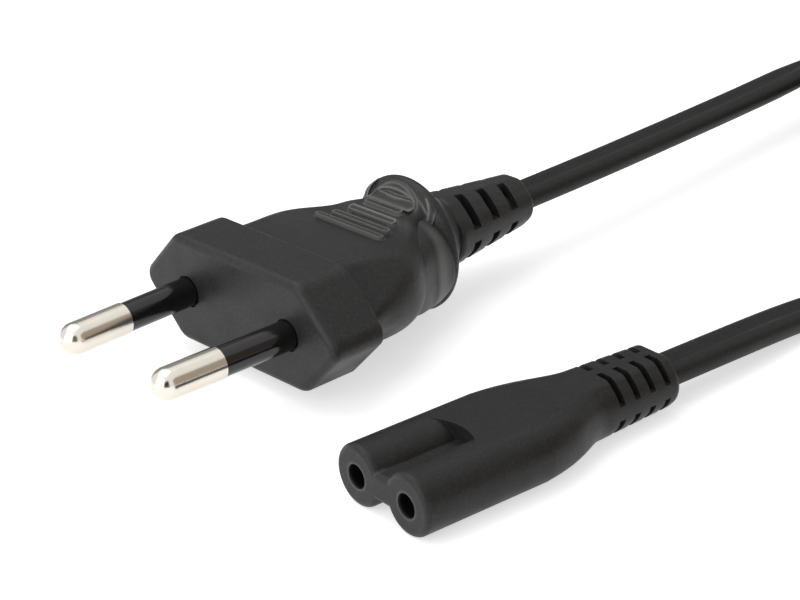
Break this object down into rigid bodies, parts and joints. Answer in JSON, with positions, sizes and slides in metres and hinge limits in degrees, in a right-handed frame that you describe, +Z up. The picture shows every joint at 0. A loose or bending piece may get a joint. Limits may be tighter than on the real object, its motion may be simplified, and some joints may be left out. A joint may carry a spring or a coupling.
{
  "type": "europlug mains lead",
  "caption": "Two-pin moulded mains plug with a flat twin cord, a coil of spare cord and a figure-8 connector.",
  "frame": {"origin": "centre of the plug's engagement face, between the two pins", "axes": "-Y out of the engagement face along the pins, +X across the two pins, +Z up; the lead lies on its side faces on a flat surface"},
  "size_m": [0.0818, 0.1916, 0.0178],
  "materials": {
    "moulding": "satin",
    "cord_jacket": "satin",
    "sleeve": "gloss",
    "carrier": "matte",
    "nickel": "polished",
    "core_brown": "satin",
    "core_blue": "satin",
    "copper": "satin",
    "tie": "matte"
  },
  "bodies": {
    "root": {"plug_body": "moulding", "pin_carrier": "carrier", "pin_left": "nickel", "pin_right": "nickel", "pin_sleeve_left": "sleeve", "pin_sleeve_right": "sleeve", "plug_core_left": "core_brown", "plug_core_right": "core_blue", "plug_strands_left": "copper", "plug_strands_right": "copper", "cord_lead_out": "cord_jacket", "cord_coil": "cord_jacket", "cord_lead_in": "cord_jacket", "coil_tie": "tie", "connector_body": "moulding", "contact_holder": "carrier", "contact_left": "nickel", "contact_right": "nickel", "connector_core_left": "core_brown", "connector_core_right": "core_blue", "connector_strands_left": "copper", "connector_strands_right": "copper"}
  },
  "joints": []
}
